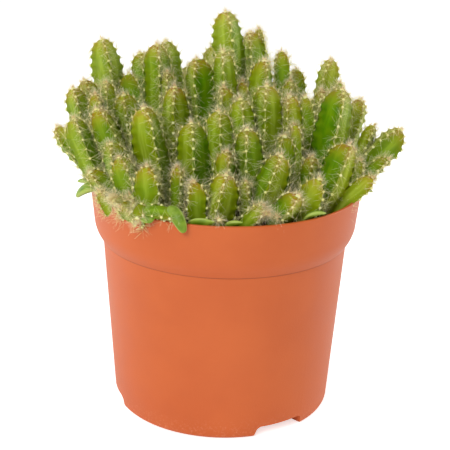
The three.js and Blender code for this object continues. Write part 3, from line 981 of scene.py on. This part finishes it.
def bristle_tree(material):
    """Grows bristles out of areole points, each in a random direction about the way that its areole faces."""
    tree = bpy.data.node_groups.new("areole bristles", "GeometryNodeTree")
    given = add_sockets(
        tree,
        ("Thickness", "Float", 0.1 * MM),
        ("Least share of length", "Float", 0.45),
        ("Bend", "Float", 0.16),
        ("Seed", "Int", 7),
    )
    seed = given["Seed"]
    each = node(tree, "GeometryNodeDuplicateElements", {
        "Geometry": given["Geometry"], "Amount": read(tree, "bristles", "INT"),
    }, domain="POINT").outputs[0]
    out, up = read(tree, "out", "FLOAT_VECTOR"), read(tree, "up", "FLOAT_VECTOR")
    aside = vector_maths(tree, "CROSS_PRODUCT", out, up)
    bearing = random_number(tree, 0, 2 * math.pi, seed)
    upwards = scaled(tree, up, maths(tree, "COSINE", bearing))
    flat = vector_maths(tree, "ADD", upwards, scaled(tree, aside, maths(tree, "SINE", bearing)))
    least, most = read(tree, "least_tilt"), read(tree, "most_tilt")
    tilt = random_number(tree, least, most, maths(tree, "ADD", seed, 1))
    outwards = scaled(tree, out, maths(tree, "COSINE", tilt))
    way = vector_maths(tree, "ADD", outwards, scaled(tree, flat, maths(tree, "SINE", tilt)))
    aim = node(tree, "FunctionNodeAlignRotationToVector", {"Vector": way}, axis="Z").outputs[0]
    share = random_number(tree, given["Least share of length"], 1, maths(tree, "ADD", seed, 2))
    long = times(tree, read(tree, "length"), share)
    spike = node(tree, "GeometryNodeMeshCone", {
        "Vertices": 3, "Side Segments": 2, "Radius Top": 0.2, "Radius Bottom": 0.5, "Depth": 1,
    }, fill_type="NGON")
    place = node(tree, "GeometryNodeInputPosition").outputs[0]
    rise = node(tree, "ShaderNodeSeparateXYZ", {0: place}).outputs["Z"]
    hair = store(tree, spike.outputs["Mesh"], "along", rise)
    tone = random_number(tree, 0.02, 0.96, maths(tree, "ADD", seed, 3))
    points = store(tree, each, "tone", tone)
    thick = given["Thickness"]
    size = node(tree, "ShaderNodeCombineXYZ", {0: thick, 1: thick, 2: long}).outputs[0]
    droop = times(tree, long, given["Bend"])
    left_or_right = random_number(tree, -1, 1, maths(tree, "ADD", seed, 4))
    sideways = scaled(tree, vector_maths(tree, "CROSS_PRODUCT", way, out), left_or_right)
    points = store(tree, points, "bend", scaled(tree, sideways, droop), "FLOAT_VECTOR")
    hairs = node(tree, "GeometryNodeInstanceOnPoints", {
        "Points": points, "Instance": hair, "Rotation": aim, "Scale": size,
    }).outputs[0]
    hairs = node(tree, "GeometryNodeRealizeInstances", {"Geometry": hairs}).outputs[0]
    along = read(tree, "along")
    curl = scaled(tree, read(tree, "bend", "FLOAT_VECTOR"), maths(tree, "POWER", along, 2))
    hairs = node(tree, "GeometryNodeSetPosition", {"Geometry": hairs, "Offset": curl}).outputs[0]
    # Its place on the baked map: how far along it is, and a row of its own.
    index = node(tree, "GeometryNodeInputIndex").outputs[0]
    corner = times(tree, maths(tree, "FRACT", maths(tree, "DIVIDE", index, 3)), 0.03)
    row = maths(tree, "ADD", read(tree, "tone"), corner)
    spot = node(tree, "ShaderNodeCombineXYZ", {0: along, 1: row}).outputs[0]
    hairs = store(tree, hairs, "OFBake", spot, "FLOAT2", "CORNER")
    hairs = node(tree, "GeometryNodeSetShadeSmooth", {"Geometry": hairs}).outputs[0]
    return put_out(tree, hairs, material)


def felt_tree(material):
    """Sets a low dome of felt on every areole point."""
    tree = bpy.data.node_groups.new("felt pads", "GeometryNodeTree")
    given = add_sockets(
        tree,
        ("Flatness", "Float", 0.75),
        ("Least share of size", "Float", 0.8),
        ("Most share of size", "Float", 1.1),
        ("Seed", "Int", 3),
    )
    pad = node(tree, "GeometryNodeMeshUVSphere", {"Segments": 7, "Rings": 5, "Radius": 0.5})
    out = read(tree, "out", "FLOAT_VECTOR")
    aim = node(tree, "FunctionNodeAlignRotationToVector", {"Vector": out}, axis="Z")
    share = random_number(tree, given["Least share of size"], given["Most share of size"], given["Seed"])
    wide = times(tree, read(tree, "pad"), share)
    size = node(tree, "ShaderNodeCombineXYZ", {0: wide, 1: wide, 2: times(tree, wide, given["Flatness"])})
    pads = node(tree, "GeometryNodeInstanceOnPoints", {
        "Points": given["Geometry"],
        "Instance": pad.outputs["Mesh"],
        "Rotation": aim.outputs[0],
        "Scale": size.outputs[0],
    }).outputs[0]
    pads = node(tree, "GeometryNodeRealizeInstances", {"Geometry": pads}).outputs[0]
    pads = node(tree, "GeometryNodeSetShadeSmooth", {"Geometry": pads}).outputs[0]
    return put_out(tree, pads, material)


def areoles_of(places, ribs):
    """A stem's areoles: where each sits, the way it faces, the stem's heading and how far the tip is."""
    found = []
    for rib in range(ribs):
        wanted = rib / ribs + (1 if rib == 0 else 0)
        for lower, upper in reversed(list(zip(places, places[1:]))):
            a, b = areole_count(upper[4]), areole_count(lower[4])
            while a <= wanted < b:
                share = (wanted - a) / (b - a)
                point = upper[0].lerp(lower[0], share)
                heading = upper[1].lerp(lower[1], share).normalized()
                first = upper[2].lerp(lower[2], share).normalized()
                radius = upper[3] + (lower[3] - upper[3]) * share
                distance = upper[4] + (lower[4] - upper[4]) * share
                out = Matrix.Rotation(2 * math.pi * rib / ribs, 3, heading) @ first
                found.append((point + out * radius * PAD_LIFT, out, heading, distance))
                wanted += 1
    return found


FELT_TREE = felt_tree(felt())
BRISTLE_TREE = bristle_tree(bristle())


def areole(at, out, up, bristles, length, pad, pink, tilts):
    """One areole or tuft: where it sits, the two ways that turn it, and what grows on it."""
    return {
        "at": at, "out": out, "up": up, "bristles": bristles, "length": length, "pad": pad, "pink": pink,
        "least_tilt": tilts[0], "most_tilt": tilts[1],
    }


def areole_points(name, rows):
    """Areole points as loose vertices that carry what grows on them."""
    mesh = bpy.data.meshes.new(name)
    mesh.from_pydata([row["at"] for row in rows], [], [])
    kinds = {"out": "FLOAT_VECTOR", "up": "FLOAT_VECTOR", "bristles": "INT"}
    for label in ("out", "up", "bristles", "length", "pad", "pink", "least_tilt", "most_tilt"):
        layer = mesh.attributes.new(label, kinds.get(label, "FLOAT"), "POINT")
        if kinds.get(label) == "FLOAT_VECTOR":
            layer.data.foreach_set("vector", [axis for row in rows for axis in row[label]])
        else:
            layer.data.foreach_set("value", [row[label] for row in rows])
    made = bpy.data.objects.new(name, mesh)
    bpy.context.scene.collection.objects.link(made)
    return made


quarters = {"front_left": [], "front_right": [], "back_left": [], "back_right": []}
for places, ribs, blush, bristles in STEMS:
    foot = places[0][0]
    quarter = quarters[("front_" if foot.y < 0 else "back_") + ("left" if foot.x < 0 else "right")]
    for at, out, up, distance in areoles_of(places, ribs):
        young = max(0, 1 - distance / YOUNG_REACH)
        quarter.append(areole(
            at, out, up,
            bristles=bristles + round(YOUNG_EXTRA_BRISTLES * young),
            length=BRISTLE_LENGTH - YOUNG_BRISTLE_LOSS * young,
            pad=PAD_WIDTH - YOUNG_PAD_LOSS * young,
            pink=(0.1 + 0.8 * young) * (0.6 + 0.4 * blush),
            tilts=AREOLE_TILTS,
        ))
    tip, heading, first_rib = places[-1][:3]
    quarter.append(areole(
        tip - heading * TIP_TUFT_DEPTH, heading, first_rib,
        bristles=TIP_TUFT_BRISTLES,
        length=TIP_TUFT_LENGTH,
        pad=min(WIDEST_TIP_PAD, 0.4 * max(place[3] for place in places)),
        pink=0.6 + 0.4 * blush,
        tilts=TIP_TUFT_TILTS,
    ))

# Dry seedlings that have shrivelled to a ball of their bristles, caught at the lip and between the stems.
DRY_TUFT_PAD, DRY_TUFT_TILTS = 1.5 * MM, (0.1, math.radians(125))
DRY_TUFTS = [
    # place | reach | bristles | how pink
    ((-2.4, -59.5, 104.3), 4.5, 80, 0.6),
    ((16.5, -55, 105.8), 6.5, 150, 0.7),
    ((20.5, -53.5, 104), 6, 100, 0.7),
    ((12.5, -51.5, 107), 5.5, 80, 0.5),
    ((-45.5, -44.5, 106.5), 6, 110, 0.4),
    ((-50, -39, 107.5), 5, 60, 0.4),
    ((-37, -50, 106), 5, 60, 0.4),
]
for place, reach, bristles, pink in DRY_TUFTS:
    outward = Vector((place[0], place[1], 40)).normalized()
    across = Vector((0, 0, 1)).cross(outward).normalized()
    tuft = areole(
        Vector(place) * MM, outward, across, bristles, reach * MM, DRY_TUFT_PAD, pink, DRY_TUFT_TILTS
    )
    quarters["front_left" if place[0] < 0 else "front_right"].append(tuft)
for quarter, rows in quarters.items():
    finish_piece(grown(areole_points(f"felt_pads_{quarter}", rows), FELT_TREE), None, "areole_felt")
    finish_piece(grown(areole_points(f"bristles_{quarter}", rows), BRISTLE_TREE), None, "bristle")


# Seed leaves.
# The two thick first leaves of a seedling, fleshy and smooth, with a shallow channel along the middle and a
# pale translucent edge. They lie over the pot's lip or against it.

LEAF_SECTIONS, LEAF_SIDES = 28, 24
# Half the thickness, how pointed it is (1 is a pointed leaf, 0.5 a rounded one) and its width against the
# packed leaf's: what most leaves have, and then the leaves that differ.
USUAL_LEAF = (1.25 * MM, 0.85, 1)
ODD_LEAVES = {
    "seed_leaf_1": (2 * MM, 0.85, 1),
    "seed_leaf_3": (1.25 * MM, 0.62, 1),
    "seed_leaf_4": (1.8 * MM, 0.4, 0.72),
}
LEAF_CHANNEL_DEPTH, LEAF_CHANNEL_WIDTH = 0.3, 0.2  # against half the thickness and half the width


def leaf_flesh():
    """Smooth satin green with darker patches and a paler edge."""
    made, tree, shader, place = new_material("seed leaf", paint(98, 140, 20), 0.36)
    patches, fine = grain(tree, place, 0.004, 0.0005)
    colour = blended(tree, patches, paint(96, 130, 14), paint(138, 166, 44))
    colour = blended(tree, between(tree, attribute(tree, "margin"), 0.55, 1), colour, paint(176, 196, 92))
    tree.links.new(colour, shader.inputs["Base Color"])
    tree.links.new(maths(tree, "MULTIPLY_ADD", patches, 0.12, 0.34), shader.inputs["Roughness"])
    shader.inputs["Specular IOR Level"].default_value = 0.35
    bumped(tree, shader, fine, 0.05 * MM)
    return made


def leaf_body(name):
    """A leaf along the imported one's vein, as wide as it is and plumper."""
    rings = packed_rings(name)
    root, tip = rings[0][0], rings[-1][0]
    widest = rings[len(rings) // 2]
    hub = centre(widest)
    bend = hub * 2 - (root + tip) / 2
    edge = max(widest, key=lambda point: (point - hub).length) - hub
    half_thickness, pointed, width = ODD_LEAVES.get(name, USUAL_LEAF)
    shape = bmesh.new()
    margin = shape.verts.layers.float.new("margin")
    ends = [shape.verts.new(root), shape.verts.new(tip)]
    loops = []
    for step in range(1, LEAF_SECTIONS):
        share = (1 - math.cos(math.pi * step / LEAF_SECTIONS)) / 2
        heading = curve_heading(root, bend, tip, share)
        across = (edge - heading * edge.dot(heading)).normalized()
        through = heading.cross(across)
        half_width = edge.length * width * math.sin(math.pi * share**0.85) ** pointed
        plump = half_thickness * math.sin(math.pi * share**0.9) ** 0.5
        loop = []
        for side in range(LEAF_SIDES):
            angle = 2 * math.pi * side / LEAF_SIDES
            out = math.cos(angle)
            channel = LEAF_CHANNEL_DEPTH * math.exp(-((out / LEAF_CHANNEL_WIDTH) ** 2))
            lift = plump * (math.sin(angle) - (channel if math.sin(angle) > 0 else 0))
            point = curve_point(root, bend, tip, share) + across * half_width * out + through * lift
            loop.append(shape.verts.new(point))
            loop[-1][margin] = out * out
        loops.append(loop)
    for low, high in zip(loops, loops[1:]):
        for side in range(LEAF_SIDES):
            beside = (side + 1) % LEAF_SIDES
            shape.faces.new((low[side], low[beside], high[beside], high[side]))
    for end, loop in zip(ends, (loops[0], loops[-1])):
        end[margin] = 1
        for side in range(LEAF_SIDES):
            shape.faces.new((end, loop[side], loop[(side + 1) % LEAF_SIDES]))
    bmesh.ops.recalc_face_normals(shape, faces=shape.faces)
    return add_object(f"{name}_flesh", shape)


SEED_LEAF = leaf_flesh()
for name in sorted(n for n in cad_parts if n.startswith("seed_leaf_")):
    leaf = leaf_body(name)
    smooth(leaf, 180)
    finish_piece(leaf, SEED_LEAF, "seed_leaf", name)


# Studio.
# A white table in a white room. A soft key light stands in front and above, two weaker ones stand at the
# sides behind the pot, and the camera looks down from the front.

TABLE_SIZE, TABLE_DROP = 6, 0.2 * MM
TABLE_GLOW, SEEN_TABLE_GLOW = 0.1, 0.52  # the second is added where the camera sees the table
WALL_LIGHT, SEEN_WALL_LIGHT = 0.43, 0.6
WHITE = (1, 1, 1, 1)


def white_table():
    """Matt white card with faint clouds. It glows a little, so that it shows white."""
    made, tree, shader, place = new_material("white table", (0.9, 0.9, 0.9, 1), 0.7)
    patches, _ = grain(tree, place, 0.3, 0.002)
    colour = blended(tree, patches, (0.9, 0.9, 0.9, 1), (0.92, 0.92, 0.92, 1))
    tree.links.new(colour, shader.inputs["Base Color"])
    shader.inputs["Emission Color"].default_value = WHITE
    seen = node(tree, "ShaderNodeLightPath").outputs["Is Camera Ray"]
    glow = maths(tree, "MULTIPLY_ADD", seen, SEEN_TABLE_GLOW, TABLE_GLOW)
    tree.links.new(glow, shader.inputs["Emission Strength"])
    return made


bpy.ops.mesh.primitive_plane_add(size=TABLE_SIZE, location=(0, 0, -TABLE_DROP))
table = bpy.context.object
table.name = "table"
table.data.materials.append(white_table())

world = bpy.data.worlds.new("white room")
bpy.context.scene.world = world
world.use_nodes = True
walls = world.node_tree.nodes["Background"]
walls.inputs["Color"].default_value = WHITE
seen = node(world.node_tree, "ShaderNodeLightPath").outputs["Is Camera Ray"]
wall_light = maths(world.node_tree, "MULTIPLY_ADD", seen, SEEN_WALL_LIGHT, WALL_LIGHT)
world.node_tree.links.new(wall_light, walls.inputs["Strength"])


def softbox(name, place, target, width, height, power):
    """A rectangular soft light that faces a point."""
    lamp = bpy.data.lights.new(name, "AREA")
    lamp.shape = "RECTANGLE"
    lamp.size, lamp.size_y = width, height
    lamp.energy = power
    made = bpy.data.objects.new(name, lamp)
    bpy.context.scene.collection.objects.link(made)
    made.location = place
    made.rotation_euler = (Vector(target) - Vector(place)).to_track_quat("-Z", "Y").to_euler()


softbox("key", place=(-0.42, -1.05, 0.85), target=(0, 0, 0.1), width=0.5, height=0.5, power=9)
softbox("left_rim", place=(-0.85, 0.4, 0.4), target=(0, 0, 0.08), width=0.6, height=0.8, power=4.5)
softbox("right_rim", place=(0.85, 0.4, 0.4), target=(0, 0, 0.08), width=0.6, height=0.8, power=5)

CAMERA_PLACE = (0, -0.4688, 0.247)
CAMERA_DOWN, CAMERA_ROLL = 19.49, 1.48  # degrees
camera = bpy.data.objects.new("camera", bpy.data.cameras.new("camera"))
bpy.context.scene.collection.objects.link(camera)
camera.data.lens = 88
camera.data.sensor_width = 36
level = Matrix.Rotation(math.radians(90 - CAMERA_DOWN), 4, "X")
roll = Matrix.Rotation(math.radians(CAMERA_ROLL), 4, "Z")
camera.matrix_world = Matrix.Translation(CAMERA_PLACE) @ level @ roll
bpy.context.scene.camera = camera
bpy.context.scene.view_settings.view_transform = "Standard"
